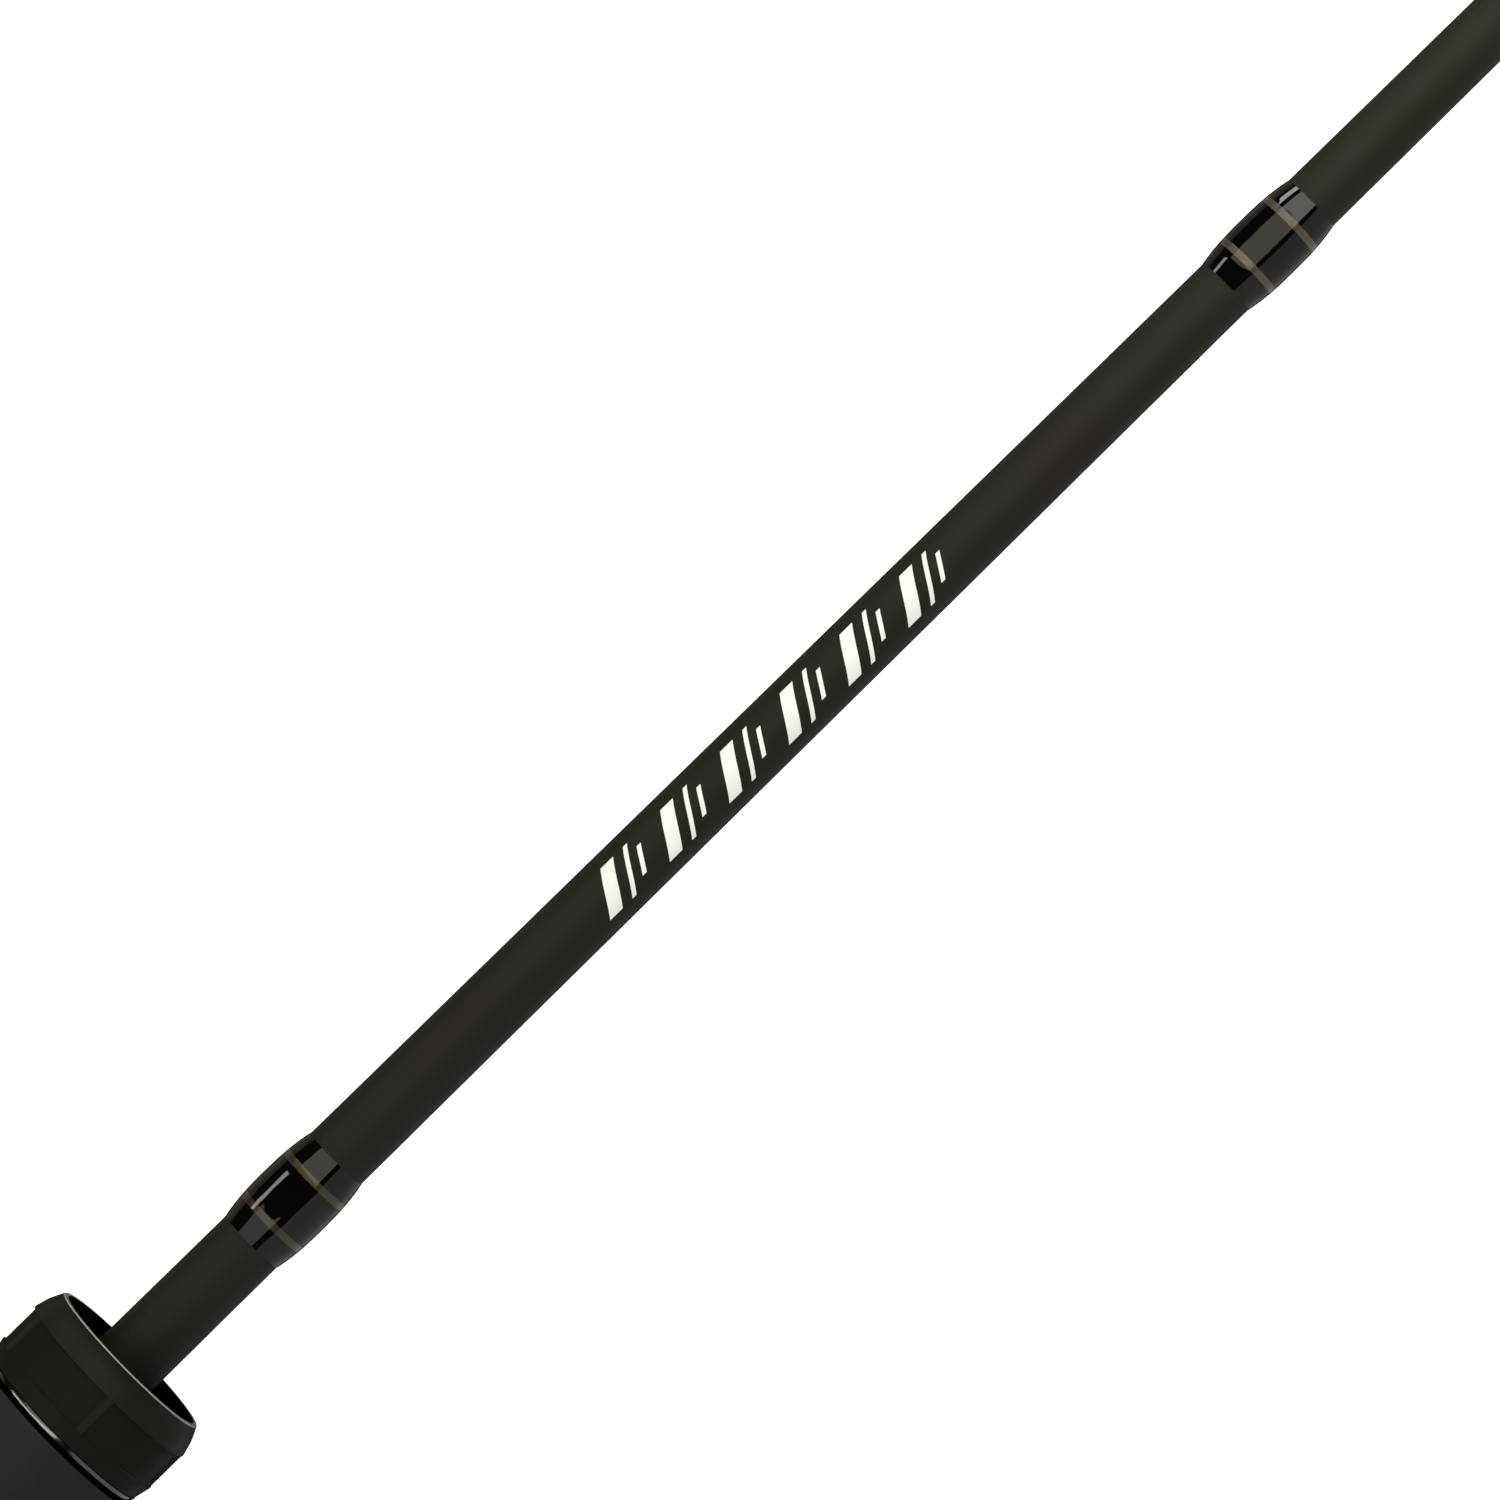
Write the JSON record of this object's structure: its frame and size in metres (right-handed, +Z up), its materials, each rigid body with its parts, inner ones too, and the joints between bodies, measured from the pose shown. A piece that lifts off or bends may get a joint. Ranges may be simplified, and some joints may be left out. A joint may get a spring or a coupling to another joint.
{
  "type": "fishing rod",
  "caption": "Two-piece spinning rod with foam split grip, screw-down reel seat, put-over ferrule and lined line guides.",
  "frame": {"origin": "centre of the flat butt face, on the axis of the blank", "axes": "+X along the blank towards the tip; -Y towards the line guides and the reel foot bed; +Z up, the lettered side of the blank, with the rod lying on its side"},
  "size_m": [1.98, 0.0596, 0.0302],
  "materials": {
    "blank_lacquer": "carbon-fibre tube under clear lacquer, satin gloss, black with a faint olive cast",
    "grip_foam": "closed-cell EVA foam, matt, fine cell texture",
    "cap_rubber": "moulded rubber, matt",
    "bright_trim": "turned and polished",
    "seat_plastic": "moulded, fine matt texture",
    "nut_plastic": "moulded, satin",
    "liner_steel": "pressed stainless sheet",
    "arbor_foam": "rigid foam bushing, unseen in use",
    "weight_brass": "turned, unseen in use",
    "trim_thread": "metallic bronze thread under clear lacquer",
    "wrap_lacquer": "black thread under thick clear lacquer, high gloss",
    "guide_steel": "dark polished stainless wire and strip",
    "ring_ceramic": "polished black ceramic ring"
  },
  "bodies": {
    "butt_section": {"butt_cap": "cap_rubber", "butt_trim_ring": "bright_trim", "balance_weight": "weight_brass", "rear_grip": "grip_foam", "rear_grip_check": "bright_trim", "butt_blank": "blank_lacquer", "ferrule_plug": "seat_plastic", "upper_grip_check": "bright_trim", "upper_grip": "grip_foam", "seat_trim_ring": "bright_trim", "seat_body": "seat_plastic", "fixed_hood_liner": "liner_steel", "seat_arbor_rear": "arbor_foam", "seat_arbor_front": "arbor_foam", "keeper_wrap": "wrap_lacquer", "keeper_bands": "trim_thread", "hook_keeper": "guide_steel", "label_wrap": "wrap_lacquer", "label_bands": "trim_thread", "guide_1_frame": "guide_steel", "guide_1_ring": "ring_ceramic", "guide_1_wrap_rear": "wrap_lacquer", "guide_1_wrap_front": "wrap_lacquer"},
    "sliding_hood": {"sliding_hood": "seat_plastic", "sliding_hood_liner": "liner_steel"},
    "lock_nut": {"lock_nut": "nut_plastic", "nut_trim_ring": "bright_trim"},
    "tip_section": {"tip_blank": "blank_lacquer", "ferrule_wrap": "wrap_lacquer", "ferrule_bands": "trim_thread", "guide_2_frame": "guide_steel", "guide_2_ring": "ring_ceramic", "guide_2_wrap_rear": "wrap_lacquer", "guide_2_wrap_front": "wrap_lacquer", "guide_3_frame": "guide_steel", "guide_3_ring": "ring_ceramic", "guide_3_wrap": "wrap_lacquer", "guide_4_frame": "guide_steel", "guide_4_ring": "ring_ceramic", "guide_4_wrap": "wrap_lacquer", "guide_5_frame": "guide_steel", "guide_5_ring": "ring_ceramic", "guide_5_wrap": "wrap_lacquer", "guide_6_frame": "guide_steel", "guide_6_ring": "ring_ceramic", "guide_6_wrap": "wrap_lacquer", "tip_top_frame": "guide_steel", "tip_top_ring": "ring_ceramic", "tip_top_wrap": "wrap_lacquer"}
  },
  "joints": [
    {"name": "hood_slide", "type": "slide", "parent": "butt_section", "child": "sliding_hood", "axis": [-1, 0, 0], "range_m": [0, 0.0178]},
    {"name": "nut_turn", "type": "hinge", "parent": "sliding_hood", "child": "lock_nut", "pos_m": [0.4725, 0, 0], "axis": [-1, 0, 0], "range_deg": [0, 3205]},
    {"name": "ferrule_slide", "type": "slide", "parent": "butt_section", "child": "tip_section", "axis": [1, 0, 0], "range_m": [0, 0.08]}
  ],
  "couplings": [
    {"joint": "nut_turn", "follows": "hood_slide", "rad_per_m": 3141.6}
  ]
}
